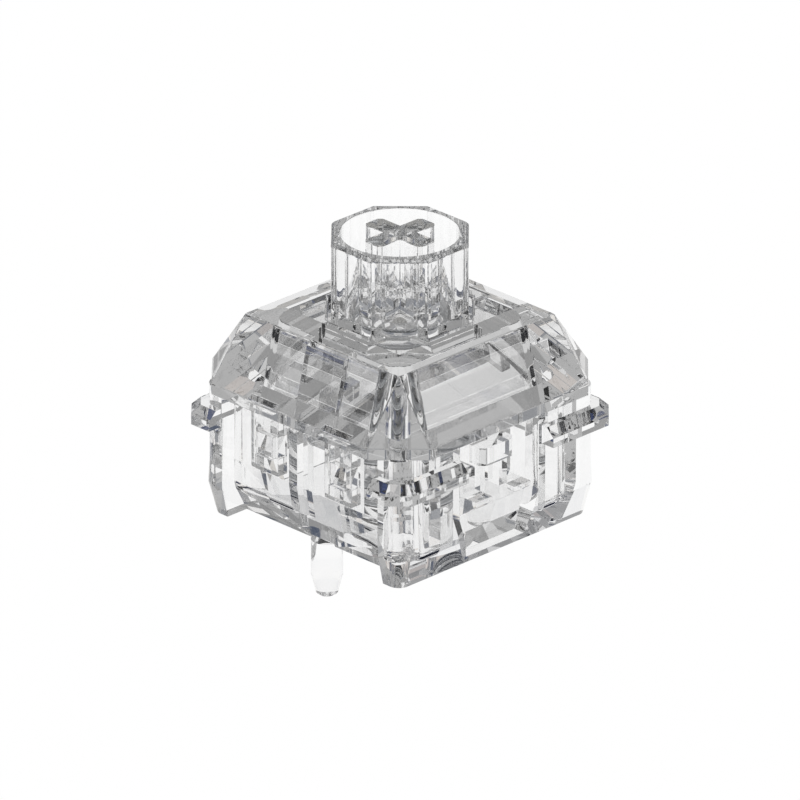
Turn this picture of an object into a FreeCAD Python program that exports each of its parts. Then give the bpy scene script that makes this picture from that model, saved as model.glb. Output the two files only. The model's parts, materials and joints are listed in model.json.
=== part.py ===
"""Keyboard switch with clear moulded housings, a sprung key stem and a magnet in the stem.

Lengths are millimetres. The origin is the centre of the face that seats on the circuit board,
+Z points up towards the key cap, X runs through the two locating pegs and Y through the two
plate clips.
"""
import FreeCAD
import Part
import math
import os

Vec = FreeCAD.Vector
UP = Vec(0, 0, 1)

# Lower housing: outer form
FOOT_DRAW_IN = 0.83
TAPER_HEIGHT = 3.00
BODY_CORNER_RADIUS = 1.00
FOOT_CORNER_RADIUS = 0.60
RIM_ABOVE_LUGS = 1.02
FLOOR_THICKNESS = 1.00
WALL_THICKNESS = 0.90
CAVITY_CORNER_RADIUS = 0.80
CAVITY_FLOOR_RADIUS = 0.60

# Lower housing: corner lugs that rest on the mounting plate
LUG_REACH = 0.82
LUG_SEAT_HEIGHT = 5.00
LUG_THICKNESS = 0.98
LUG_BEVEL = 0.47
LUG_CORNER_CUT = 0.97
LUG_INSET_AT_CLIPS = 0.20
LUG_INSET_AT_LATCHES = 0.05

# Lower housing: latch bays on the X sides, clip bays on the Y sides
LATCH_BAY_WIDTH = 11.00
LATCH_BAY_DEPTH = 0.87
CLIP_BAY_WIDTH = 5.50
CLIP_BAY_FOOT_WIDTH = 4.00
CLIP_BAY_DEPTH = 0.95
CLIP_BAY_BOTTOM = 0.35
CLIP_BAY_SLOPE_TOP = 2.60

# Plate clip: a finger with a head and two wedges that snap under the plate
PLATE_THICKNESS = 1.50
PLATE_CLEARANCE = 0.08
CLIP_FINGER_WIDTH = 1.54
CLIP_FINGER_RELIEF = 0.25
CLIP_HEAD_WIDTH = 2.30
CLIP_HEAD_HEIGHT = 0.95
CLIP_HEAD_CHAMFER = 0.30
CLIP_WEDGE_SPAN = 3.80
CLIP_WEDGE_HEIGHT = 1.45
CLIP_WEDGE_LAND = 0.25
CLIP_REACH = 0.27

# Board side: centre post and locating pegs
POST_WALL = 0.52
POST_LENGTH = 2.20
POST_CHAMFER = 0.30
POST_END_THICKNESS = 0.50
PEG_SPACING = 10.16
PEG_RADIUS = 0.80
PEG_TIP_RADIUS = 0.53
PEG_STRAIGHT_LENGTH = 1.75
PEG_LENGTH = 2.85
PEG_TIP_CHAMFER = 0.12
PEG_ROOT = 0.15

# Spring hub and stem guides on the floor of the lower housing
HUB_HEIGHT = 2.40
HUB_WALL = 0.44
GUIDE_RIB_WIDTH = 0.80
GUIDE_DEPTH = 1.13
GUIDE_BACK_THICKNESS = 0.43
GUIDE_DROP_BELOW_LIP = 0.10

# Upper housing
CAP_TOP_LAND = 0.44
CAP_RISE = 3.44
CAP_SHOULDER_REACH = 1.39
CAP_SHOULDER_DROP = 0.29
CAP_SETBACK = 0.13
CAP_BAND_HEIGHT = 0.60
CAP_CORNER_CUT = 2.16
CAP_CEILING_THICKNESS = 1.04
CAP_CAVITY_MARGIN = 0.50
CAP_CAVITY_CORNER_RADIUS = 0.90
HOLE_MOUTH_CHAMFER = 0.10
LIP_DEPTH = 0.80
LIP_THICKNESS = 0.70
LIP_CLEARANCE = 0.05

# Latches: a looped leg of the upper housing over a catch of the lower one
LATCH_SPACING = 5.18
LATCH_LEG_WIDTH = 1.90
LATCH_LEG_LENGTH = 3.50
LATCH_LEG_CLEARANCE = 0.08
LATCH_LEG_SETBACK = 0.13
LATCH_BAR_HEIGHT = 0.80
LATCH_WINDOW_WIDTH = 1.10
LATCH_WINDOW_HEIGHT = 1.20
LATCH_CLEARANCE = 0.06
CATCH_DEPTH = 0.58
CATCH_NOSE = 0.20

# Stem
TRAVEL = 4.00
STOP_CLEARANCE = 0.04
COLLAR_WIDTH = 6.80
COLLAR_FOOT_WALL = 0.70
COLLAR_STANDS_OUT = 4.08
COLLAR_CHAMFER = 0.16
COLLAR_CLEARANCE = 0.16
COLLAR_WALL = 0.44
SOCKET_DEPTH = 3.90
CROSS_SPAN = 4.00
CROSS_BAR_WIDTH = 1.20
CROSS_TIP_CHAMFER = 0.20
SHOULDER_LEDGE = 0.60
SHOULDER_THICKNESS = 0.95
SHOULDER_CORNER_CUT = 1.20
WEB_THICKNESS = 0.95
SKIRT_THICKNESS = 0.70
SKIRT_LENGTH = 6.00
SKIRT_DROP = 2.10
RAIL_WIDTH = 2.40
RAIL_ROOT = 0.75
RAIL_CLEARANCE = 0.08
RAIL_CLEARANCE_IN_CAP = 0.15
RAIL_END_CHAMFER = 0.25
POLE_CLEARANCE = 0.08
POLE_CHAMFER = 0.15

# Magnet in the foot of the stem's pole
POLE_WALL = 0.48
MAGNET_LENGTH = 2.50
MAGNET_CLEARANCE = 0.02
MAGNET_CHAMFER = 0.10

# Return spring
WIRE_RADIUS = 0.20
COIL_TURNS = 8.0
SPRING_SEAT_CLEARANCE = 0.02
SPRING_HUB_CLEARANCE = 0.08
WIRE_SIDES = 8
SPRING_POCKET_CLEARANCE = 0.30

# Sizes that follow from the collar inwards: spring, hub, pole and magnet
COLLAR_HALF = COLLAR_WIDTH / 2
SOCKET_RADIUS = COLLAR_HALF - COLLAR_WALL
SPRING_POCKET_RADIUS = COLLAR_HALF - COLLAR_FOOT_WALL
COIL_RADIUS = SPRING_POCKET_RADIUS - SPRING_POCKET_CLEARANCE - WIRE_RADIUS
HUB_RADIUS = COIL_RADIUS - WIRE_RADIUS - SPRING_HUB_CLEARANCE
BORE_RADIUS = HUB_RADIUS - HUB_WALL
POLE_RADIUS = BORE_RADIUS - POLE_CLEARANCE
MAGNET_RADIUS = POLE_RADIUS - POLE_WALL
POST_RADIUS = BORE_RADIUS + POST_WALL

# Sizes that follow from the collar outwards: shoulder, guides, walls, lugs and upper housing
HOLE_HALF = COLLAR_HALF + COLLAR_CLEARANCE
SHOULDER_HALF = COLLAR_HALF + SHOULDER_LEDGE
GUIDE_INNER_X = SHOULDER_HALF + RAIL_CLEARANCE
CAVITY_HALF_X = GUIDE_INNER_X + GUIDE_DEPTH
GUIDE_BACK_X = CAVITY_HALF_X - GUIDE_BACK_THICKNESS
RAIL_OUTER_X = GUIDE_BACK_X - RAIL_CLEARANCE
GUIDE_HALF_WIDTH = RAIL_WIDTH / 2 + RAIL_CLEARANCE
BAY_HALF_X = CAVITY_HALF_X + WALL_THICKNESS
RIM_HALF = BAY_HALF_X + LATCH_BAY_DEPTH
FOOT_HALF = RIM_HALF - FOOT_DRAW_IN
BAY_HALF_Y = RIM_HALF - CLIP_BAY_DEPTH
CAVITY_HALF_Y = RIM_HALF - WALL_THICKNESS
CLIP_BACK_Y = BAY_HALF_Y - WALL_THICKNESS
LIP_HALF_X = CAVITY_HALF_X - LIP_CLEARANCE
LIP_HALF_Y = CLIP_BACK_Y - LIP_CLEARANCE
LUG_HALF = RIM_HALF + LUG_REACH
CAP_BASE_HALF = LUG_HALF - CAP_SETBACK
CAP_TOP_HALF = HOLE_HALF + CAP_TOP_LAND
CAP_SHOULDER_HALF = CAP_TOP_HALF + CAP_SHOULDER_REACH

# Heights that follow, from the board upwards
HUB_TOP = FLOOR_THICKNESS + HUB_HEIGHT
BORE_BOTTOM = POST_END_THICKNESS - POST_LENGTH
POLE_BOTTOM = BORE_BOTTOM + TRAVEL + 2 * STOP_CLEARANCE
RAIL_BOTTOM = FLOOR_THICKNESS + TRAVEL + STOP_CLEARANCE
PLATE_UNDERSIDE = LUG_SEAT_HEIGHT - PLATE_THICKNESS
LUG_TOP = LUG_SEAT_HEIGHT + LUG_THICKNESS
RIM_HEIGHT = LUG_TOP + RIM_ABOVE_LUGS
LATCH_LEG_BOTTOM = RIM_HEIGHT - LATCH_LEG_LENGTH
LIP_BOTTOM = RIM_HEIGHT - LIP_DEPTH
GUIDE_TOP = LIP_BOTTOM - GUIDE_DROP_BELOW_LIP
CAP_BASE_HEIGHT = RIM_HEIGHT + CAP_BAND_HEIGHT
CAP_TOP_HEIGHT = CAP_BASE_HEIGHT + CAP_RISE
CEILING_HEIGHT = CAP_TOP_HEIGHT - CAP_CEILING_THICKNESS
SHOULDER_TOP = CEILING_HEIGHT - STOP_CLEARANCE
SHOULDER_BOTTOM = SHOULDER_TOP - SHOULDER_THICKNESS
COLLAR_TOP = CAP_TOP_HEIGHT + COLLAR_STANDS_OUT
SOCKET_FLOOR = COLLAR_TOP - SOCKET_DEPTH
SPRING_BOTTOM = FLOOR_THICKNESS + SPRING_SEAT_CLEARANCE
SPRING_POCKET_TOP = SOCKET_FLOOR - WEB_THICKNESS
SPRING_TOP = SPRING_POCKET_TOP - SPRING_SEAT_CLEARANCE
EPS = 0.01


def box(x0, x1, y0, y1, z0, z1):
    """A box between two values along each axis."""
    return Part.makeBox(x1 - x0, y1 - y0, z1 - z0, Vec(x0, y0, z0))


def centred_box(length, width, z0, z1):
    """A box centred on the vertical axis."""
    return box(-length / 2, length / 2, -width / 2, width / 2, z0, z1)


def cylinder(radius, z0, z1, x=0.0, y=0.0):
    """An upright cylinder."""
    return Part.makeCylinder(radius, z1 - z0, Vec(x, y, z0), UP)


def polygon_face(points):
    """A flat face from its corner points."""
    return Part.Face(Part.makePolygon(list(points) + [points[0]]))


def prism(outline, z0, z1):
    """An upright prism over an outline of (x, y) pairs."""
    face = polygon_face([Vec(x, y, z0) for x, y in outline])
    return face.extrude(Vec(0, 0, z1 - z0))


def cut_rectangle(half_x, half_y, cut):
    """A rectangle's outline with its corners cut at 45 degrees."""
    return [
        (half_x, half_y - cut),
        (half_x - cut, half_y),
        (cut - half_x, half_y),
        (-half_x, half_y - cut),
        (-half_x, cut - half_y),
        (cut - half_x, -half_y),
        (half_x - cut, -half_y),
        (half_x, cut - half_y),
    ]


def octagon(half):
    """A regular octagon's outline, from half its width across flats square to X and Y."""
    return cut_rectangle(half, half, half * (2 - math.sqrt(2)))


def rounded_rectangle(half_x, half_y, radius, z):
    """A horizontal wire: a rectangle with round corners."""
    flat_x = half_x - radius
    flat_y = half_y - radius
    reach = radius * math.sqrt(0.5)
    corners = [(1, 1), (-1, 1), (-1, -1), (1, -1)]
    edges = []
    for index, (sx, sy) in enumerate(corners):
        centre = Vec(sx * flat_x, sy * flat_y, z)
        along_x = centre + Vec(sx * radius, 0, 0)
        along_y = centre + Vec(0, sy * radius, 0)
        middle = centre + Vec(sx * reach, sy * reach, 0)
        first, last = (along_x, along_y) if sx * sy > 0 else (along_y, along_x)
        edges.append(Part.Arc(first, middle, last).toShape())
        nx, ny = corners[(index + 1) % 4]
        following = Vec(nx * flat_x, ny * flat_y, z)
        following += Vec(nx * radius, 0, 0) if nx * ny > 0 else Vec(0, ny * radius, 0)
        edges.append(Part.LineSegment(last, following).toShape())
    return Part.Wire(edges)


def loft(wires):
    """A closed solid with straight sides between horizontal wires."""
    return Part.makeLoft(wires, True, True)


def closed_polygon(outline, z):
    """A horizontal wire through an outline's (x, y) pairs."""
    return Part.makePolygon([Vec(x, y, z) for x, y in outline + outline[:1]])


def octagon_frustum(lower_half, upper_half, z0, z1):
    """A solid that goes from one regular octagon to another."""
    lower = closed_polygon(octagon(lower_half), z0)
    return loft([lower, closed_polygon(octagon(upper_half), z1)])


def fuse(shapes):
    """One solid from shapes that touch or overlap."""
    return shapes[0].multiFuse(shapes[1:]).removeSplitter()


def mirrored(shape, normal):
    """The shape's mirror image through the origin."""
    return shape.mirror(Vec(0, 0, 0), normal)


def in_pairs(shape, normal):
    """The shape and its mirror image."""
    return [shape, mirrored(shape, normal)]


def in_four(shape):
    """The shape in each quarter of the plan."""
    pair = in_pairs(shape, Vec(1, 0, 0))
    return pair + [mirrored(one, Vec(0, 1, 0)) for one in pair]


def body_envelope(inset_x=0.0, inset_y=0.0):
    """The lower housing's outer form, straight above its tapered foot, drawn in by an inset."""
    foot = rounded_rectangle(FOOT_HALF - inset_x, FOOT_HALF - inset_y, FOOT_CORNER_RADIUS, 0)
    waist = rounded_rectangle(
        RIM_HALF - inset_x, RIM_HALF - inset_y, BODY_CORNER_RADIUS, TAPER_HEIGHT
    )
    rim = rounded_rectangle(RIM_HALF - inset_x, RIM_HALF - inset_y, BODY_CORNER_RADIUS, RIM_HEIGHT)
    return loft([foot, waist]).fuse(loft([waist, rim]))


def corner_lugs():
    """Four lugs round the corners, with a bevelled upper edge."""
    bevel_start = LUG_TOP - LUG_BEVEL
    upper_half = LUG_HALF - LUG_BEVEL
    upper_cut = LUG_CORNER_CUT - LUG_BEVEL * (2 - math.sqrt(2))
    lower = cut_rectangle(LUG_HALF, LUG_HALF, LUG_CORNER_CUT)
    upper = cut_rectangle(upper_half, upper_half, upper_cut)
    plan = prism(lower, LUG_SEAT_HEIGHT, bevel_start)
    bevel = loft([closed_polygon(lower, bevel_start), closed_polygon(upper, LUG_TOP)])
    flange = plan.fuse(bevel)
    near_x = CLIP_BAY_WIDTH / 2 + LUG_INSET_AT_CLIPS
    near_y = LATCH_BAY_WIDTH / 2 + LUG_INSET_AT_LATCHES
    corner = box(near_x, LUG_HALF, near_y, LUG_HALF, LUG_SEAT_HEIGHT, LUG_TOP)
    return [flange.common(one) for one in in_four(corner)]


def latch_bay():
    """The space of the shallow bay in the +X wall, which follows the wall's taper."""
    half = LATCH_BAY_WIDTH / 2
    slab = box(0, LUG_HALF + EPS, -half, half, 0, RIM_HEIGHT + EPS)
    return slab.cut(body_envelope(inset_x=LATCH_BAY_DEPTH))


def clip_bay():
    """The space of the bay in the +Y wall, narrower at its foot."""
    half = CLIP_BAY_WIDTH / 2
    foot_half = CLIP_BAY_FOOT_WIDTH / 2
    outline = [
        Vec(-foot_half, BAY_HALF_Y, CLIP_BAY_BOTTOM),
        Vec(foot_half, BAY_HALF_Y, CLIP_BAY_BOTTOM),
        Vec(half, BAY_HALF_Y, CLIP_BAY_SLOPE_TOP),
        Vec(half, BAY_HALF_Y, RIM_HEIGHT + EPS),
        Vec(-half, BAY_HALF_Y, RIM_HEIGHT + EPS),
        Vec(-half, BAY_HALF_Y, CLIP_BAY_SLOPE_TOP),
    ]
    face = polygon_face(outline)
    bay = face.extrude(Vec(0, LUG_HALF, 0))
    return bay.cut(body_envelope(inset_y=CLIP_BAY_DEPTH))


def plate_clip():
    """The clip in the +Y bay: finger, head and two wedges that catch the plate's underside."""
    root = BAY_HALF_Y - EPS
    face_y = RIM_HALF
    finger_y = face_y - CLIP_FINGER_RELIEF
    head_bottom = LUG_SEAT_HEIGHT
    head_top = head_bottom + CLIP_HEAD_HEIGHT
    slot = CLIP_FINGER_WIDTH / 2
    finger = box(-slot, slot, root, finger_y, TAPER_HEIGHT, head_bottom)
    half = CLIP_HEAD_WIDTH / 2
    head_outline = [
        (-half, root),
        (half, root),
        (half, face_y - CLIP_HEAD_CHAMFER),
        (half - CLIP_HEAD_CHAMFER, face_y),
        (CLIP_HEAD_CHAMFER - half, face_y),
        (-half, face_y - CLIP_HEAD_CHAMFER),
    ]
    head = prism(head_outline, head_bottom, head_top)
    catch_top = PLATE_UNDERSIDE - PLATE_CLEARANCE
    wedge_bottom = catch_top - CLIP_WEDGE_HEIGHT
    tip = face_y + CLIP_REACH
    in_wall = root - WALL_THICKNESS / 2
    left = -CLIP_WEDGE_SPAN / 2
    profile = [
        Vec(left, in_wall, wedge_bottom),
        Vec(left, tip, catch_top - CLIP_WEDGE_LAND),
        Vec(left, tip, catch_top),
        Vec(left, in_wall, catch_top),
    ]
    wedges = polygon_face(profile).extrude(Vec(CLIP_WEDGE_SPAN, 0, 0))
    gap = box(-slot, slot, finger_y, tip + EPS, wedge_bottom, catch_top + EPS)
    return [finger, head, wedges.cut(gap)]


def latch_catch():
    """The catch for one latch leg, on the wall of the +X bay."""
    top_of_bar = LATCH_LEG_BOTTOM + LATCH_BAR_HEIGHT
    under = top_of_bar + LATCH_CLEARANCE
    over = top_of_bar + LATCH_WINDOW_HEIGHT - LATCH_CLEARANCE
    half = LATCH_WINDOW_WIDTH / 2 - LATCH_CLEARANCE
    root = BAY_HALF_X - WALL_THICKNESS / 2
    y = LATCH_SPACING / 2 - half
    profile = [
        Vec(root, y, under),
        Vec(BAY_HALF_X + CATCH_DEPTH, y, under),
        Vec(BAY_HALF_X + CATCH_DEPTH, y, under + CATCH_NOSE),
        Vec(BAY_HALF_X, y, over),
        Vec(root, y, over),
    ]
    return polygon_face(profile).extrude(Vec(0, 2 * half, 0))


def locating_peg():
    """The peg at +X: straight, then tapered to a chamfered tip."""
    x = PEG_SPACING / 2
    straight = cylinder(PEG_RADIUS, -PEG_STRAIGHT_LENGTH, PEG_ROOT, x)
    taper = Part.makeCone(
        PEG_TIP_RADIUS, PEG_RADIUS, PEG_LENGTH - PEG_STRAIGHT_LENGTH, Vec(x, 0, -PEG_LENGTH), UP
    )
    tip_edges = [edge for edge in taper.Edges if edge.BoundBox.ZMax < EPS - PEG_LENGTH]
    return [straight, taper.makeChamfer(PEG_TIP_CHAMFER, tip_edges)]


def centre_post():
    """The post that centres the switch on its board, still solid."""
    post = cylinder(POST_RADIUS, -POST_LENGTH, FLOOR_THICKNESS / 2)
    rim_edges = [edge for edge in post.Edges if edge.BoundBox.ZMax < EPS - POST_LENGTH]
    return post.makeChamfer(POST_CHAMFER, rim_edges)


def lower_cavity():
    """The space inside the lower housing, with a rounded floor edge and the clip bays' backs kept."""
    wire = rounded_rectangle(CAVITY_HALF_X, CAVITY_HALF_Y, CAVITY_CORNER_RADIUS, FLOOR_THICKNESS)
    space = Part.Face(wire).extrude(Vec(0, 0, RIM_HEIGHT - FLOOR_THICKNESS + EPS))
    floor_edges = [edge for edge in space.Edges if edge.BoundBox.ZMax < FLOOR_THICKNESS + EPS]
    space = space.makeFillet(CAVITY_FLOOR_RADIUS, floor_edges)
    back_half = CLIP_BAY_WIDTH / 2 + WALL_THICKNESS
    back = box(-back_half, back_half, CLIP_BACK_Y, RIM_HALF, 0, RIM_HEIGHT + 2 * EPS)
    return space.cut(Part.makeCompound(in_pairs(back, Vec(0, 1, 0))))


def stem_guide():
    """The channel on the +X wall that the stem's rail runs in."""
    half = GUIDE_HALF_WIDTH + GUIDE_RIB_WIDTH
    block = box(GUIDE_INNER_X, CAVITY_HALF_X + EPS, -half, half, FLOOR_THICKNESS / 2, GUIDE_TOP)
    slot = GUIDE_HALF_WIDTH
    channel = box(GUIDE_INNER_X - EPS, GUIDE_BACK_X, -slot, slot, FLOOR_THICKNESS, GUIDE_TOP + EPS)
    return block.cut(channel)


def lower_housing():
    """The moulded lower housing with its lugs, clips, catches, guides, post and pegs."""
    shell = fuse([body_envelope()] + corner_lugs())
    bays = in_pairs(latch_bay(), Vec(1, 0, 0)) + in_pairs(clip_bay(), Vec(0, 1, 0))
    shell = shell.cut(Part.makeCompound(bays)).cut(lower_cavity())
    hub = cylinder(HUB_RADIUS, FLOOR_THICKNESS / 2, HUB_TOP)
    additions = [centre_post(), hub]
    additions += in_four(latch_catch())
    additions += in_pairs(stem_guide(), Vec(1, 0, 0))
    for piece in plate_clip():
        additions += in_pairs(piece, Vec(0, 1, 0))
    for piece in locating_peg():
        additions += in_pairs(piece, Vec(1, 0, 0))
    bore = cylinder(BORE_RADIUS, BORE_BOTTOM, HUB_TOP + EPS)
    return fuse([shell] + additions).cut(bore)


def cap_envelope():
    """The upper housing's faceted outer form: a flat top, a shoulder and a triangle at each corner."""
    top_z = CAP_TOP_HEIGHT
    shoulder_z = CAP_TOP_HEIGHT - CAP_SHOULDER_DROP
    top = CAP_TOP_HALF
    shoulder = CAP_SHOULDER_HALF
    base = CAP_BASE_HALF
    corners = [(1, 1), (-1, 1), (-1, -1), (1, -1)]
    upper = [Vec(top * sx, top * sy, top_z) for sx, sy in corners]
    middle = [Vec(shoulder * sx, shoulder * sy, shoulder_z) for sx, sy in corners]
    outline = cut_rectangle(base, base, CAP_CORNER_CUT)
    lower = [Vec(x, y, CAP_BASE_HEIGHT) for x, y in outline]
    bottom = [Vec(x, y, RIM_HEIGHT) for x, y in outline]
    faces = [polygon_face(upper), polygon_face(bottom)]
    for i in range(4):
        j = (i + 1) % 4
        faces.append(polygon_face([upper[i], upper[j], middle[j], middle[i]]))
        faces.append(polygon_face([middle[i], middle[j], lower[2 * j], lower[2 * i + 1]]))
        faces.append(polygon_face([middle[i], lower[2 * i], lower[2 * i + 1]]))
    for i in range(8):
        j = (i + 1) % 8
        faces.append(polygon_face([lower[i], lower[j], bottom[j], bottom[i]]))
    solid = Part.Solid(Part.Shell(faces))
    return solid if solid.Volume > 0 else solid.reversed()


def cap_cavity():
    """The space inside the upper housing: a drafted cavity, ways for the rails and the stem's hole."""
    half_x = LIP_HALF_X - LIP_THICKNESS
    half_y = LIP_HALF_Y - LIP_THICKNESS
    top_half = SHOULDER_HALF + CAP_CAVITY_MARGIN
    radius = CAP_CAVITY_CORNER_RADIUS
    upper = rounded_rectangle(
        min(top_half, half_x), min(top_half, half_y), radius, CEILING_HEIGHT
    )
    lower = rounded_rectangle(half_x, half_y, radius, LIP_BOTTOM - EPS)
    hole = prism(octagon(HOLE_HALF), CEILING_HEIGHT - EPS, CAP_TOP_HEIGHT + EPS)
    mouth = octagon_frustum(
        HOLE_HALF - EPS,
        HOLE_HALF + HOLE_MOUTH_CHAMFER + EPS,
        CAP_TOP_HEIGHT - HOLE_MOUTH_CHAMFER - EPS,
        CAP_TOP_HEIGHT + EPS,
    )
    rail_x = RAIL_OUTER_X + RAIL_CLEARANCE_IN_CAP
    rail_y = RAIL_WIDTH / 2 + RAIL_CLEARANCE_IN_CAP
    rail_way = centred_box(2 * rail_x, 2 * rail_y, LIP_BOTTOM - EPS, CEILING_HEIGHT)
    return [loft([lower, upper]), hole, mouth, rail_way]


def latch_leg():
    """One looped leg of the upper housing, on the +X side at +Y."""
    inner_x = BAY_HALF_X + LATCH_LEG_CLEARANCE
    centre = LATCH_SPACING / 2
    half = LATCH_LEG_WIDTH / 2
    outer_x = RIM_HALF - LATCH_LEG_SETBACK
    leg = box(inner_x, outer_x, centre - half, centre + half, LATCH_LEG_BOTTOM, RIM_HEIGHT + EPS)
    window_bottom = LATCH_LEG_BOTTOM + LATCH_BAR_HEIGHT
    window_half = LATCH_WINDOW_WIDTH / 2
    window = box(
        inner_x - EPS,
        outer_x + EPS,
        centre - window_half,
        centre + window_half,
        window_bottom,
        window_bottom + LATCH_WINDOW_HEIGHT,
    )
    return leg.cut(window)


def cap_lip():
    """The lip under the upper housing that centres it in the lower one."""
    wire = rounded_rectangle(LIP_HALF_X, LIP_HALF_Y, CAVITY_CORNER_RADIUS, LIP_BOTTOM)
    return Part.Face(wire).extrude(Vec(0, 0, LIP_DEPTH + EPS))


def upper_housing():
    """The moulded upper housing with its lip and four latch legs."""
    solid = fuse([cap_envelope(), cap_lip()] + in_four(latch_leg()))
    for space in cap_cavity():
        solid = solid.cut(space)
    return solid.removeSplitter()


def keycap_cross():
    """The cross that a key cap pushes onto: bars along X and Y with chamfered tips."""
    outline = cut_rectangle(CROSS_SPAN / 2, CROSS_BAR_WIDTH / 2, CROSS_TIP_CHAMFER)
    bar = prism(outline, SOCKET_FLOOR - EPS, COLLAR_TOP)
    turned = bar.copy()
    turned.rotate(Vec(0, 0, 0), UP, 90)
    return [bar, turned]


def stem_collar():
    """The octagonal collar, open to its socket, with a chamfer round its rim."""
    chamfer_start = COLLAR_TOP - COLLAR_CHAMFER
    body = prism(octagon(COLLAR_HALF), SHOULDER_BOTTOM, chamfer_start)
    rim = octagon_frustum(COLLAR_HALF, COLLAR_HALF - COLLAR_CHAMFER, chamfer_start, COLLAR_TOP)
    return body.fuse(rim).cut(cylinder(SOCKET_RADIUS, SOCKET_FLOOR, COLLAR_TOP + EPS))


def stem_rail():
    """The rail at +X that keeps the stem square in its guide."""
    half = RAIL_WIDTH / 2
    rail = box(SHOULDER_HALF - RAIL_ROOT, RAIL_OUTER_X, -half, half, RAIL_BOTTOM, SHOULDER_TOP)
    ends = [
        edge
        for edge in rail.Edges
        if edge.BoundBox.ZMax < RAIL_BOTTOM + EPS and edge.BoundBox.YLength < EPS
    ]
    return rail.makeChamfer(RAIL_END_CHAMFER, ends)


def stem_pole():
    """The pole that runs inside the spring and in the hub's bore, with the magnet's pocket."""
    pole = cylinder(POLE_RADIUS, POLE_BOTTOM, SOCKET_FLOOR - SHOULDER_THICKNESS / 2)
    foot = [edge for edge in pole.Edges if edge.BoundBox.ZMax < POLE_BOTTOM + EPS]
    return pole.makeChamfer(POLE_CHAMFER, foot)


def stem():
    """The moulded stem: collar, cross, shoulder, skirts, rails and pole."""
    shoulder = prism(
        cut_rectangle(SHOULDER_HALF, SHOULDER_HALF, SHOULDER_CORNER_CUT),
        SHOULDER_BOTTOM,
        SHOULDER_TOP,
    )
    skirt = box(
        -SKIRT_LENGTH / 2,
        SKIRT_LENGTH / 2,
        SHOULDER_HALF - SKIRT_THICKNESS,
        SHOULDER_HALF,
        SHOULDER_BOTTOM - SKIRT_DROP,
        SHOULDER_TOP,
    )
    pocket = cylinder(SPRING_POCKET_RADIUS, SHOULDER_BOTTOM - EPS, SPRING_POCKET_TOP)
    hollow = fuse([stem_collar(), shoulder]).cut(pocket)
    pieces = [hollow, stem_pole()] + keycap_cross()
    pieces += in_pairs(stem_rail(), Vec(1, 0, 0)) + in_pairs(skirt, Vec(0, 1, 0))
    pocket_end = POLE_BOTTOM + MAGNET_LENGTH + MAGNET_CLEARANCE
    magnet_pocket = cylinder(MAGNET_RADIUS + MAGNET_CLEARANCE, POLE_BOTTOM - EPS, pocket_end)
    return fuse(pieces).cut(magnet_pocket)


def magnet():
    """The cylinder magnet pressed into the foot of the stem's pole."""
    solid = cylinder(MAGNET_RADIUS, POLE_BOTTOM, POLE_BOTTOM + MAGNET_LENGTH)
    rims = [edge for edge in solid.Edges if edge.BoundBox.ZLength < EPS]
    return solid.makeChamfer(MAGNET_CHAMFER, rims)


def return_spring():
    """The coil spring between the floor and the stem, its ends ground flat, with a many-sided wire."""
    length = SPRING_TOP - SPRING_BOTTOM
    path = Part.makeHelix(length / COIL_TURNS, length, COIL_RADIUS)
    corners = []
    for index in range(WIRE_SIDES + 1):
        angle = 2 * math.pi * (index + 0.5) / WIRE_SIDES
        across = COIL_RADIUS + WIRE_RADIUS * math.cos(angle)
        corners.append(Vec(across, 0, WIRE_RADIUS * math.sin(angle)))
    wire = path.makePipeShell([Part.makePolygon(corners)], True, True)
    wire.translate(Vec(0, 0, SPRING_BOTTOM))
    reach = COIL_RADIUS + 2 * WIRE_RADIUS
    return wire.common(cylinder(reach, SPRING_BOTTOM, SPRING_TOP))


def only_solid(shape):
    """The single solid in a shape, or an error if it fell apart."""
    if len(shape.Solids) != 1:
        raise ValueError(f"{len(shape.Solids)} solids where one is meant")
    return shape.Solids[0]


def main():
    """Write one STEP file for each piece."""
    pieces = {
        "lower_housing": lower_housing(),
        "upper_housing": upper_housing(),
        "key_stem": stem(),
        "sensing_magnet": magnet(),
        "return_spring": return_spring(),
    }
    os.makedirs("parts", exist_ok=True)
    for name, shape in pieces.items():
        solid = only_solid(shape)
        solid.exportStep(f"parts/{name}.step")
        print(name, round(solid.Volume, 3), "mm3, valid", solid.isValid())


main()
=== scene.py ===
"""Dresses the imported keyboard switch: clear mouldings, a spring, a magnet and a pale studio."""
import json
import math

import bmesh
import bpy
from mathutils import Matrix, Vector
from mathutils.kdtree import KDTree


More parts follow.
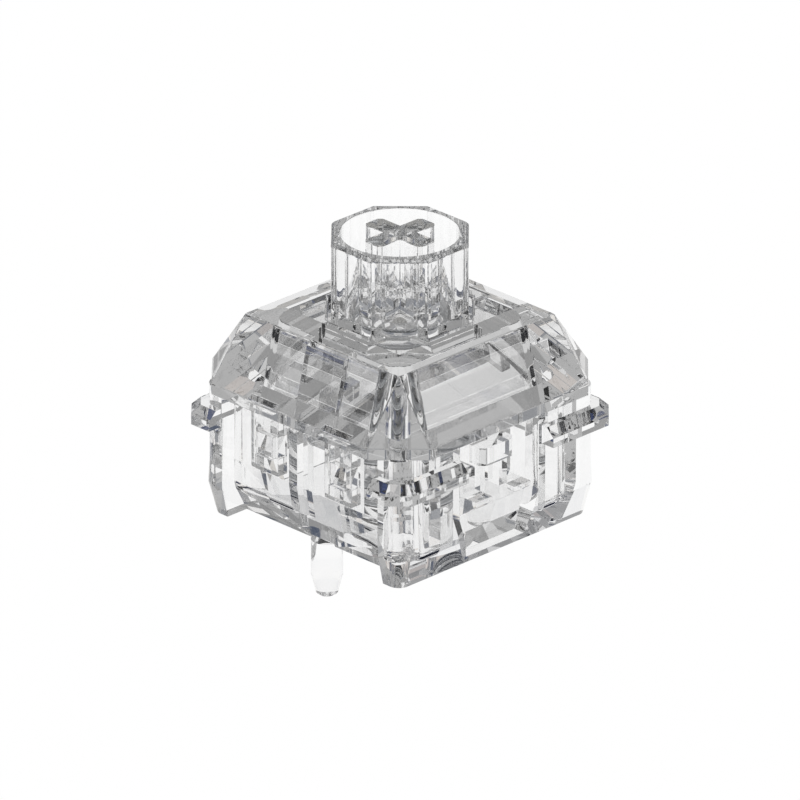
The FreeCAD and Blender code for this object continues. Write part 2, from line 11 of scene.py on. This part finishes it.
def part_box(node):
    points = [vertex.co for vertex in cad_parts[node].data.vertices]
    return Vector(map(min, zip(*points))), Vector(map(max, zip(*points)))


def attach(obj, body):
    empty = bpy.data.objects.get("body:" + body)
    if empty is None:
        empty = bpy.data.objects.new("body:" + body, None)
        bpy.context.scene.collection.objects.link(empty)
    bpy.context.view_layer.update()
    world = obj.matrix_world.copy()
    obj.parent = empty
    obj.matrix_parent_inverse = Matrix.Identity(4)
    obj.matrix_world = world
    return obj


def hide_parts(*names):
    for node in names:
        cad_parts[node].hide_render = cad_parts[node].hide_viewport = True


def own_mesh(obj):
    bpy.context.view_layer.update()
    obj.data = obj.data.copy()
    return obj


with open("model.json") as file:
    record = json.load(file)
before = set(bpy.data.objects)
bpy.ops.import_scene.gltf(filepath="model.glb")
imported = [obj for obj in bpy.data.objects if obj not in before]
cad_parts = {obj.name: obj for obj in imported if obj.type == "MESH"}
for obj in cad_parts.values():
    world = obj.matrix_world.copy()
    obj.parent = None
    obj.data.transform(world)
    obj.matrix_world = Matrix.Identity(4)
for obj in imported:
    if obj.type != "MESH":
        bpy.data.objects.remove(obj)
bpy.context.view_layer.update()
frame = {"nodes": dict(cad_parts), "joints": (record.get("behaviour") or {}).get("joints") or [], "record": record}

bl_info = {
    "name": "Clear keyboard switch",
    "version": (1, 0, 0),
    "blender": (4, 5, 0),
    "location": "3D View > Sidebar > Switch",
    "description": "Dresses a packed keyboard switch and sets up its studio",
    "category": "Object",
}

MM = 0.001
SPRING_LOW, SPRING_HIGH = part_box("return_spring")
STEM_JOINT = frame["joints"][0]
SPRING_SEAT = STEM_JOINT["deforming_nodes"][0]["fixed_end_z_m"]
SPRING_LENGTH = SPRING_HIGH.z - SPRING_SEAT
SPRING_OUTER_RADIUS = (SPRING_HIGH.y - SPRING_LOW.y) / 2

# What counts as one point, one level, one plane, a flat joint and a sharp edge in a solid's mesh.
MERGE_DISTANCE = 1e-7
SAME_LEVEL = 1e-6
COPLANAR_ANGLE = math.radians(0.2)
FLAT_ANGLE = math.radians(0.5)
SHARP_ANGLE = math.radians(28)
CURVED_WIDTH = 0.32 * MM
POSITION_DIGITS = 7

# The round features stand on the mounting pins' axes. Their chords are divided to look round.
ROUND_AXES = [
    Vector(mount["pos_m"][:2]) for mount in frame["record"]["mounts"] if mount["kind"] == "pin"
]
SMALLEST_ROUND = 0.2 * MM
LARGEST_ROUND = 3.2 * MM
FEWEST_RING_POINTS = 12
LONGEST_CHORD_SHARE = 0.6
CHORD_CUTS = 3
BEVEL_SEGMENTS = 2

# The foot of the body: the solid's taper, and the steeper one of the photo that the scene gives it.
TAPER_TOP = 3.0 * MM
TAPER_KNEE = 1.7 * MM
SOLID_HALF_TOP = 6.98 * MM
SOLID_HALF_FOOT = 6.15 * MM
HALF_FOOT = 6.6 * MM
CORNER_POST_FROM = 5.52 * MM
CORNER_ACROSS_FROM = 5.0 * MM
WALL_REACH = 0.05 * MM

# Finishes: the acrylic's index and flow ripple, and the gloss and grain of the metals.
ACRYLIC_IOR = 1.49
RIPPLE_SIZE = 2.4 * MM
RIPPLE_DEPTH = 0.02 * MM
RIPPLE_STRENGTH = 0.02
NICKEL_ROUGHNESS = 0.12
NICKEL_GRAIN = 0.3 * MM
STEEL_ROUGHNESS = 0.18
STEEL_GRAIN = 0.15 * MM
GLOSSIEST_SHARE = 0.7
DULLEST_SHARE = 1.4

STEPS_PER_TURN = 64
WIRE_SIDES = 20

# Room brightness from straight down (0) to straight up (1), for light reflected in the part.
ROOM_BANDS = (
    (0.0, "080808"),
    (0.15, "0A0C14"),
    (0.175, "2C3C68"),
    (0.19, "8C8C8C"),
    (0.21, "F6F1EA"),
    (0.24, "F6F6F6"),
    (0.38, "F6F6F6"),
    (0.42, "D8D0CA"),
    (0.44, "545C6C"),
    (0.50, "6C7078"),
    (0.57, "B8B8B8"),
    (0.67, "999999"),
    (0.78, "949494"),
    (0.88, "D8D8D8"),
    (1.0, "F8F8F8"),
)
# The same for light reflected so often that its bands would only be grain.
DEEP_BANDS = ((0.0, "080808"), (0.15, "101010"), (0.19, "B4B4B4"), (1.0, "B4B4B4"))
# Half steps between whole numbers of reflections: up to none, and more than five.
NO_REFLECTION = 0.5
DEEP_REFLECTIONS = 5.5

FLOOR_HALF = 1.5
FLOOR_GLOW = 0.9
MAX_BOUNCES = 64
GLOSSY_BOUNCES = 48
TRANSMISSION_BOUNCES = 64
SENSOR_WIDTH_MM = 36.0
CLIP_START = 0.05
CLIP_END = 10.0

# Sockets of a Mix node that mixes colours.
MIX_FACTOR, MIX_A, MIX_B, MIX_RESULT = 0, 6, 7, 2


class SwitchStudioSettings(bpy.types.PropertyGroup):
    """Camera, floor and light of the studio."""

    azimuth: bpy.props.FloatProperty(
        name="Azimuth",
        description="Camera's turn round the switch",
        default=math.radians(-44.61),
        subtype="ANGLE",
    )
    elevation: bpy.props.FloatProperty(
        name="Elevation",
        description="Camera's height above the horizon",
        default=math.radians(24.38),
        subtype="ANGLE",
    )
    distance: bpy.props.FloatProperty(
        name="Distance",
        description="From the camera to its aim",
        default=0.7213,
        unit="LENGTH",
    )
    aim_height: bpy.props.FloatProperty(
        name="Aim height",
        description="Height of the camera's aim on the stem's axis",
        default=0.00604,
        unit="LENGTH",
    )
    lens: bpy.props.FloatProperty(
        name="Lens", description="Focal length in millimetres", default=655.0
    )
    floor_drop: bpy.props.FloatProperty(
        name="Floor drop",
        description="From the board face down to the floor",
        default=0.05,
        unit="LENGTH",
    )
    backdrop: bpy.props.StringProperty(
        name="Backdrop", description="Colour of floor and backdrop", default="FFFFFF"
    )


class SwitchFinishSettings(bpy.types.PropertyGroup):
    """Sizes and colours of the finishes."""

    edge_radius: bpy.props.FloatProperty(
        name="Edge radius",
        description="Rounding of the mouldings' edges",
        default=0.00004,
        unit="LENGTH",
        precision=6,
    )
    contact_gap: bpy.props.FloatProperty(
        name="Contact gap",
        description="Film of air under the upper housing",
        default=0.00002,
        unit="LENGTH",
        precision=6,
    )
    housing_tint: bpy.props.StringProperty(
        name="Housing", description="Colour of the clear housings", default="FBFBFB"
    )
    stem_tint: bpy.props.StringProperty(
        name="Stem", description="Colour of the clear stem", default="FEFEFE"
    )
    steel_tint: bpy.props.StringProperty(
        name="Spring steel", description="Colour of the spring", default="C8CACC"
    )
    nickel_tint: bpy.props.StringProperty(
        name="Nickel", description="Colour of the magnet's plating", default="D9D8D4"
    )
    wire_radius: bpy.props.FloatProperty(
        name="Wire radius",
        description="Half the spring wire's thickness",
        default=0.0002,
        unit="LENGTH",
        precision=6,
    )
    coil_turns: bpy.props.FloatProperty(
        name="Turns", description="Turns of the spring", default=8.0
    )


def linear(code):
    """Linear colour with alpha from an sRGB hex value."""
    values = [int(code[i:i + 2], 16) / 255 for i in (0, 2, 4)]
    curved = [v / 12.92 if v <= 0.04045 else ((v + 0.055) / 1.055) ** 2.4 for v in values]
    return tuple(curved) + (1.0,)


def add_node(tree, kind, links=(), **settings):
    """Adds a node to a tree.

    Plain settings are attributes. Each pair in links joins a socket to a value or an output.
    """
    node = tree.nodes.new(kind)
    for name, value in settings.items():
        setattr(node, name, value)
    for key, value in links:
        if isinstance(value, bpy.types.NodeSocket):
            tree.links.new(value, node.inputs[key])
        else:
            node.inputs[key].default_value = value
    return node


def add_maths(tree, operation, a, b=0.0):
    """The output of a Math node."""
    return add_node(tree, "ShaderNodeMath", [(0, a), (1, b)], operation=operation).outputs[0]


def color_ramp(tree, factor, stops):
    """The colour output of a ramp through pairs of position and sRGB hex value."""
    node = add_node(tree, "ShaderNodeValToRGB", [("Fac", factor)])
    elements = node.color_ramp.elements
    elements.remove(elements[1])
    elements[0].position, elements[0].color = stops[0][0], linear(stops[0][1])
    for position, code in stops[1:]:
        elements.new(position).color = linear(code)
    return node.outputs["Color"]


def new_object(name, data):
    """An object for a mesh or camera, in the scene."""
    item = bpy.data.objects.new(name, data)
    bpy.context.scene.collection.objects.link(item)
    return item


def new_material(name):
    """An empty material with its tree and its output node."""
    material = bpy.data.materials.new(name)
    material.use_nodes = True
    tree = material.node_tree
    tree.nodes.clear()
    return material, tree, tree.nodes.new("ShaderNodeOutputMaterial")


def surface_noise(tree, size, detail):
    """The output of a noise with a feature size in metres, fixed to the object."""
    place = add_node(tree, "ShaderNodeTexCoord")
    links = [("Vector", place.outputs["Object"]), ("Scale", 1 / size), ("Detail", detail)]
    return add_node(tree, "ShaderNodeTexNoise", links).outputs["Fac"]


def clear_acrylic(name, tint):
    """Polished injection-moulded acrylic: water-clear, a hard gloss and a faint flow ripple."""
    material, tree, output = new_material(name)
    ripple = surface_noise(tree, RIPPLE_SIZE, 1.0)
    bump = add_node(
        tree,
        "ShaderNodeBump",
        [("Height", ripple), ("Strength", RIPPLE_STRENGTH), ("Distance", RIPPLE_DEPTH)],
    )
    shader = add_node(
        tree,
        "ShaderNodeBsdfPrincipled",
        [
            ("Base Color", linear(tint)),
            ("Roughness", 0.0),
            ("IOR", ACRYLIC_IOR),
            ("Transmission Weight", 1.0),
            ("Normal", bump.outputs["Normal"]),
        ],
    )
    tree.links.new(shader.outputs[0], output.inputs["Surface"])
    return material


def bright_metal(name, tint, roughness, grain):
    """A bright metal whose fine marks, of the grain's size, vary its gloss."""
    material, tree, output = new_material(name)
    gloss = add_node(
        tree,
        "ShaderNodeMapRange",
        [
            ("Value", surface_noise(tree, grain, 3.0)),
            ("To Min", roughness * GLOSSIEST_SHARE),
            ("To Max", roughness * DULLEST_SHARE),
        ],
    )
    shader = add_node(
        tree,
        "ShaderNodeBsdfPrincipled",
        [
            ("Base Color", linear(tint)),
            ("Metallic", 1.0),
            ("Roughness", gloss.outputs["Result"]),
        ],
    )
    tree.links.new(shader.outputs[0], output.inputs["Surface"])
    return material


def rings_on_axes(mesh):
    """Lists the points that lie on each circle round a pin's axis, by its X, height and radius."""
    rings = {}
    for vertex in mesh.verts:
        for axis in ROUND_AXES:
            radius = (vertex.co.xy - axis).length
            if SMALLEST_ROUND < radius < LARGEST_ROUND:
                key = (axis[0], round(vertex.co.z / MM, 3), round(radius / MM, 3))
                rings.setdefault(key, []).append(vertex)
    return rings


def refine_rounds(mesh):
    """Divides the chords of the round features and sets the new points on their circles."""
    chords = {}
    for (x, _, radius_mm), ring in rings_on_axes(mesh).items():
        if len(ring) < FEWEST_RING_POINTS:
            continue
        members, radius = set(ring), radius_mm * MM
        for edge in dict.fromkeys(edge for vertex in ring for edge in vertex.link_edges):
            start, end = edge.verts
            if start not in members or end not in members:
                continue
            if edge.calc_length() < LONGEST_CHORD_SHARE * radius:
                chords[edge] = (Vector((x, 0.0)), (start.co + end.co) / 2, radius)
    if not chords:
        return
    circles = list(chords.values())
    known = {vertex.co.to_tuple(POSITION_DIGITS) for vertex in mesh.verts}
    bmesh.ops.subdivide_edges(mesh, edges=list(chords), cuts=CHORD_CUTS, use_grid_fill=True)
    finder = KDTree(len(circles))
    for index, (_, middle, _) in enumerate(circles):
        finder.insert(middle, index)
    finder.balance()
    for vertex in mesh.verts:
        if vertex.co.to_tuple(POSITION_DIGITS) not in known:
            axis, _, radius = circles[finder.find(vertex.co)[1]]
            vertex.co.xy = axis + (vertex.co.xy - axis).normalized() * radius


def upright_foot(mesh):
    """Moves the outer faces of the body's tapered foot out, so that it stays upright to a knee."""
    bmesh.ops.bisect_plane(
        mesh,
        geom=mesh.verts[:] + mesh.edges[:] + mesh.faces[:],
        dist=MERGE_DISTANCE,
        plane_co=(0, 0, TAPER_KNEE),
        plane_no=(0, 0, 1),
    )
    for vertex in mesh.verts:
        height = vertex.co.z
        if not -SAME_LEVEL < height < TAPER_TOP:
            continue
        solid_half = SOLID_HALF_FOOT + (SOLID_HALF_TOP - SOLID_HALF_FOOT) * height / TAPER_TOP
        half = HALF_FOOT + (SOLID_HALF_TOP - HALF_FOOT) * min(1.0, height / TAPER_KNEE)
        reach = [abs(value) for value in vertex.co.xy]
        for axis in (0, 1):
            on_post = reach[axis] > CORNER_POST_FROM and reach[1 - axis] > CORNER_ACROSS_FROM
            if on_post or reach[axis] > solid_half - WALL_REACH:
                vertex.co[axis] += math.copysign(half - solid_half, vertex.co[axis])


def shade_curves(mesh):
    """Shades the narrow faces of curves smooth and all others flat."""
    for face in mesh.faces:
        bent = any(FLAT_ANGLE < edge.calc_face_angle(0) < SHARP_ANGLE for edge in face.edges)
        width = face.calc_area() / max(edge.calc_length() for edge in face.edges)
        face.smooth = bent and width < CURVED_WIDTH


def round_edges(mesh, radius):
    """Rounds the sharp edges with narrow strips, which are shaded flat."""
    strips = bmesh.ops.bevel(
        mesh,
        geom=[edge for edge in mesh.edges if edge.calc_face_angle(0) > SHARP_ANGLE],
        offset=radius,
        offset_type="OFFSET",
        segments=BEVEL_SEGMENTS,
        profile=0.5,
        affect="EDGES",
        clamp_overlap=True,
    )
    for face in strips["faces"]:
        face.smooth = False


def rounded_copy(node, name, edge_radius, top_gap=0.0, reshape=None):
    """A copy of a CAD node with merged corners, rounded edges and smooth curves.

    A top gap lowers its highest face, so that a film of air stays between it and the piece that
    rests there. A reshape function changes the mesh before its edges are rounded.
    """
    mesh = bmesh.new()
    mesh.from_mesh(frame["nodes"][node].data)
    bmesh.ops.remove_doubles(mesh, verts=mesh.verts, dist=MERGE_DISTANCE)
    top = max(vertex.co.z for vertex in mesh.verts)
    for vertex in mesh.verts:
        if top - vertex.co.z < SAME_LEVEL:
            vertex.co.z -= top_gap
    if reshape:
        reshape(mesh)
    bmesh.ops.dissolve_limit(
        mesh,
        angle_limit=COPLANAR_ANGLE,
        use_dissolve_boundaries=False,
        verts=mesh.verts,
        edges=mesh.edges,
    )
    refine_rounds(mesh)
    shade_curves(mesh)
    round_edges(mesh, edge_radius)
    data = bpy.data.meshes.new(name)
    mesh.to_mesh(data)
    mesh.free()
    return new_object(name, data)


def dress(node, name, body, material, top_gap=0.0, reshape=None):
    """Replaces a CAD node by its rounded copy with a finish."""
    edge_radius = bpy.context.scene.switch_finish.edge_radius
    piece = rounded_copy(node, name, edge_radius, top_gap, reshape)
    piece.data.materials.append(material)
    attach(piece, body)
    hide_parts(node)


class SWITCH_OT_lower_housing(bpy.types.Operator):
    """Dress the lower housing in clear plastic"""

    bl_idname = "switch.lower_housing"
    bl_label = "Lower housing"

    def execute(self, context):
        finish = context.scene.switch_finish
        material = clear_acrylic("clear_acrylic_lower", finish.housing_tint)
        dress(
            "lower_housing",
            "lower_housing_moulding",
            "housing",
            material,
            finish.contact_gap,
            upright_foot,
        )
        return {"FINISHED"}


class SWITCH_OT_upper_housing(bpy.types.Operator):
    """Dress the upper housing in clear plastic"""

    bl_idname = "switch.upper_housing"
    bl_label = "Upper housing"

    def execute(self, context):
        finish = context.scene.switch_finish
        material = clear_acrylic("clear_acrylic_upper", finish.housing_tint)
        dress("upper_housing", "upper_housing_moulding", "housing", material)
        return {"FINISHED"}


class SWITCH_OT_key_stem(bpy.types.Operator):
    """Dress the key stem in clear plastic"""

    bl_idname = "switch.key_stem"
    bl_label = "Key stem"

    def execute(self, context):
        finish = context.scene.switch_finish
        material = clear_acrylic("clear_acrylic_stem", finish.stem_tint)
        dress("key_stem", "key_stem_moulding", "slider", material)
        return {"FINISHED"}


class SWITCH_OT_magnet(bpy.types.Operator):
    """Dress the magnet in nickel plate"""

    bl_idname = "switch.magnet"
    bl_label = "Magnet"

    def execute(self, context):
        finish = context.scene.switch_finish
        # Bright nickel plating, with fine barrel marks.
        material = bright_metal(
            "nickel_plate", finish.nickel_tint, NICKEL_ROUGHNESS, NICKEL_GRAIN
        )
        dress("sensing_magnet", "sensing_magnet_plated", "slider", material)
        return {"FINISHED"}


def spring_tree(material):
    """Geometry Nodes for a coil spring whose end turns close up to flat seats."""
    tree = bpy.data.node_groups.new("coil_spring", "GeometryNodeTree")
    face = tree.interface
    face.new_socket("Geometry", in_out="OUTPUT", socket_type="NodeSocketGeometry")
    sockets = {}
    for name in ("Turns", "Coil Radius", "Wire Radius", "Length"):
        socket = face.new_socket(name, in_out="INPUT", socket_type="NodeSocketFloat")
        sockets[name] = socket.identifier
    given = add_node(tree, "NodeGroupInput").outputs
    turns, radius, wire, length = (given[name] for name in sockets)

    def maths(operation, a, b=0.0):
        return add_maths(tree, operation, a, b)

    line = add_node(tree, "GeometryNodeCurvePrimitiveLine")
    steps = maths("MULTIPLY", turns, STEPS_PER_TURN)
    fine = add_node(
        tree, "GeometryNodeResampleCurve", [("Curve", line.outputs[0]), ("Count", steps)]
    )
    along = add_node(tree, "GeometryNodeSplineParameter").outputs["Factor"]
    from_foot = maths("MULTIPLY", along, turns)
    from_top = maths("MULTIPLY", maths("SUBTRACT", 1.0, along), turns)
    angle = maths("MULTIPLY", from_foot, math.tau)

    # Each end turn rises by the wire's thickness, and the turns between share out the rest.
    thickness = maths("MULTIPLY", wire, 2.0)
    foot_rise = maths("MULTIPLY", maths("MINIMUM", from_foot, 1.0), thickness)
    top_share = maths("SUBTRACT", 1.0, maths("MINIMUM", from_top, 1.0))
    end_rise = maths("ADD", foot_rise, maths("MULTIPLY", top_share, thickness))
    end_share = maths("DIVIDE", 1.0, turns)
    open_share = add_node(
        tree,
        "ShaderNodeMapRange",
        [
            ("Value", along),
            ("From Min", end_share),
            ("From Max", maths("SUBTRACT", 1.0, end_share)),
        ],
    ).outputs["Result"]
    open_length = maths("SUBTRACT", length, maths("MULTIPLY", wire, 6.0))
    height = maths("ADD", end_rise, maths("MULTIPLY", open_share, open_length))
    place = add_node(
        tree,
        "ShaderNodeCombineXYZ",
        [
            ("X", maths("MULTIPLY", maths("COSINE", angle), radius)),
            ("Y", maths("MULTIPLY", maths("SINE", angle), radius)),
            ("Z", maths("ADD", height, wire)),
        ],
    )
    coil = add_node(
        tree,
        "GeometryNodeSetPosition",
        [("Geometry", fine.outputs[0]), ("Position", place.outputs[0])],
    )
    ring = add_node(
        tree, "GeometryNodeCurvePrimitiveCircle", [("Resolution", WIRE_SIDES), ("Radius", wire)]
    )
    swept = add_node(
        tree,
        "GeometryNodeCurveToMesh",
        [("Curve", coil.outputs[0]), ("Profile Curve", ring.outputs[0]), ("Fill Caps", True)],
    )
    smooth = add_node(tree, "GeometryNodeSetShadeSmooth", [("Geometry", swept.outputs[0])])
    coated = add_node(
        tree,
        "GeometryNodeSetMaterial",
        [("Geometry", smooth.outputs[0]), ("Material", material)],
    )
    add_node(tree, "NodeGroupOutput", [(0, coated.outputs[0])])
    return tree, sockets


def baked_nodes(name, tree, values):
    """Runs a Geometry Nodes tree on an empty mesh and returns the result as a mesh object."""
    holder = new_object(name + "_maker", bpy.data.meshes.new(name + "_maker"))
    modifier = holder.modifiers.new("maker", "NODES")
    modifier.node_group = tree
    for identifier, value in values.items():
        modifier[identifier] = value
    bpy.context.view_layer.update()
    shape = holder.evaluated_get(bpy.context.evaluated_depsgraph_get())
    data = bpy.data.meshes.new_from_object(shape)
    data.name = name
    bpy.data.objects.remove(holder)
    return new_object(name, data)


class SWITCH_OT_spring(bpy.types.Operator):
    """Wind the return spring between its seats"""

    bl_idname = "switch.spring"
    bl_label = "Return spring"

    def execute(self, context):
        finish = context.scene.switch_finish
        # Spring steel wire, bright drawn, with fine die marks.
        material = bright_metal(
            "drawn_spring_steel", finish.steel_tint, STEEL_ROUGHNESS, STEEL_GRAIN
        )
        tree, sockets = spring_tree(material)
        values = {
            sockets["Turns"]: finish.coil_turns,
            sockets["Coil Radius"]: SPRING_OUTER_RADIUS - finish.wire_radius,
            sockets["Wire Radius"]: finish.wire_radius,
            sockets["Length"]: SPRING_LENGTH,
        }
        piece = baked_nodes("return_spring_coil", tree, values)
        for vertex in piece.data.vertices:
            vertex.co.z += SPRING_SEAT
        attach(piece, "housing")
        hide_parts("return_spring")
        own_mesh(piece)
        return {"FINISHED"}


def studio_world():
    """White to the camera and straight through clear parts; reflections see a banded grey room."""
    world = bpy.data.worlds.new("soft_studio")
    world.use_nodes = True
    tree = world.node_tree
    tree.nodes.clear()
    output = tree.nodes.new("ShaderNodeOutputWorld")
    place = add_node(tree, "ShaderNodeTexCoord")
    parts = add_node(tree, "ShaderNodeSeparateXYZ", [(0, place.outputs["Generated"])])
    height = add_node(
        tree,
        "ShaderNodeMapRange",
        [("Value", parts.outputs["Z"]), ("From Min", -1.0), ("From Max", 1.0)],
    ).outputs["Result"]
    depth = add_node(tree, "ShaderNodeLightPath").outputs["Glossy Depth"]
    direct = add_maths(tree, "LESS_THAN", depth, NO_REFLECTION)
    deep = add_maths(tree, "GREATER_THAN", depth, DEEP_REFLECTIONS)
    bands = color_ramp(tree, height, ROOM_BANDS)
    calm = color_ramp(tree, height, DEEP_BANDS)
    room = add_node(
        tree,
        "ShaderNodeMix",
        [(MIX_FACTOR, deep), (MIX_A, bands), (MIX_B, calm)],
        data_type="RGBA",
    ).outputs[MIX_RESULT]
    soft = add_node(tree, "ShaderNodeBackground", [("Color", room), ("Strength", 1.0)])
    white = add_node(tree, "ShaderNodeBackground", [("Color", (1, 1, 1, 1)), ("Strength", 1.0)])
    mixed = add_node(
        tree, "ShaderNodeMixShader", [(0, direct), (1, soft.outputs[0]), (2, white.outputs[0])]
    )
    tree.links.new(mixed.outputs[0], output.inputs["Surface"])
    return world


def floor_material(code):
    """A painted studio sweep: plain white to the camera, with a faint shadow."""
    material, tree, output = new_material("pale_floor")
    seen = add_node(tree, "ShaderNodeLightPath").outputs["Is Camera Ray"]
    lit = add_node(tree, "ShaderNodeBsdfDiffuse", [("Color", linear(code))])
    glow = add_node(tree, "ShaderNodeEmission", [("Color", linear(code)), ("Strength", 1.0)])
    share = add_maths(tree, "MULTIPLY", seen, FLOOR_GLOW)
    mixed = add_node(
        tree, "ShaderNodeMixShader", [(0, share), (1, lit.outputs[0]), (2, glow.outputs[0])]
    )
    tree.links.new(mixed.outputs[0], output.inputs["Surface"])
    return material


def build_floor(studio):
    """Lays the square floor, which clear and glossy faces don't show."""
    half, height = FLOOR_HALF, -studio.floor_drop
    data = bpy.data.meshes.new("floor")
    corners = [(-half, -half), (half, -half), (half, half), (-half, half)]
    data.from_pydata([(x, y, height) for x, y in corners], [], [(0, 1, 2, 3)])
    data.materials.append(floor_material(studio.backdrop))
    floor = new_object("floor", data)
    floor.visible_transmission = False
    floor.visible_glossy = False


def build_camera(studio):
    """Sets the camera up on the photo's line of sight."""
    cosine, sine = math.cos(studio.elevation), math.sin(studio.elevation)
    back = Vector(
        (math.sin(studio.azimuth) * cosine, -math.cos(studio.azimuth) * cosine, sine)
    )
    camera = new_object("camera", bpy.data.cameras.new("camera"))
    camera.data.lens = studio.lens
    camera.data.sensor_width = SENSOR_WIDTH_MM
    camera.data.clip_start = CLIP_START
    camera.data.clip_end = CLIP_END
    camera.location = Vector((0, 0, studio.aim_height)) + back * studio.distance
    camera.rotation_mode = "QUATERNION"
    camera.rotation_quaternion = (-back).to_track_quat("-Z", "Y")
    bpy.context.scene.camera = camera


class SWITCH_OT_studio(bpy.types.Operator):
    """Build the floor, the light and the camera"""

    bl_idname = "switch.studio"
    bl_label = "Studio"

    def execute(self, context):
        scene = context.scene
        scene.view_settings.view_transform = "Standard"
        scene.world = studio_world()
        scene.cycles.max_bounces = MAX_BOUNCES
        scene.cycles.glossy_bounces = GLOSSY_BOUNCES
        scene.cycles.transmission_bounces = TRANSMISSION_BOUNCES
        build_floor(scene.switch_studio)
        build_camera(scene.switch_studio)
        return {"FINISHED"}


OPERATORS = (
    SWITCH_OT_lower_housing,
    SWITCH_OT_upper_housing,
    SWITCH_OT_key_stem,
    SWITCH_OT_magnet,
    SWITCH_OT_spring,
    SWITCH_OT_studio,
)


class SWITCH_PT_panel(bpy.types.Panel):
    """Steps that dress the switch"""

    bl_label = "Switch"
    bl_idname = "SWITCH_PT_panel"
    bl_space_type = "VIEW_3D"
    bl_region_type = "UI"
    bl_category = "Switch"

    def draw(self, context):
        for operator in OPERATORS:
            self.layout.operator(operator.bl_idname)


CLASSES = (SwitchStudioSettings, SwitchFinishSettings) + OPERATORS + (SWITCH_PT_panel,)


def register():
    """Register the settings, the steps and the panel."""
    for one in CLASSES:
        bpy.utils.register_class(one)
    bpy.types.Scene.switch_studio = bpy.props.PointerProperty(type=SwitchStudioSettings)
    bpy.types.Scene.switch_finish = bpy.props.PointerProperty(type=SwitchFinishSettings)


def unregister():
    """Take the settings, the steps and the panel away."""
    del bpy.types.Scene.switch_finish
    del bpy.types.Scene.switch_studio
    for one in reversed(CLASSES):
        bpy.utils.unregister_class(one)


def main():
    """Dress every piece and set the studio up."""
    register()
    for operator in OPERATORS:
        group, step = operator.bl_idname.split(".")
        getattr(getattr(bpy.ops, group), step)()


if __name__ == "__main__":
    main()
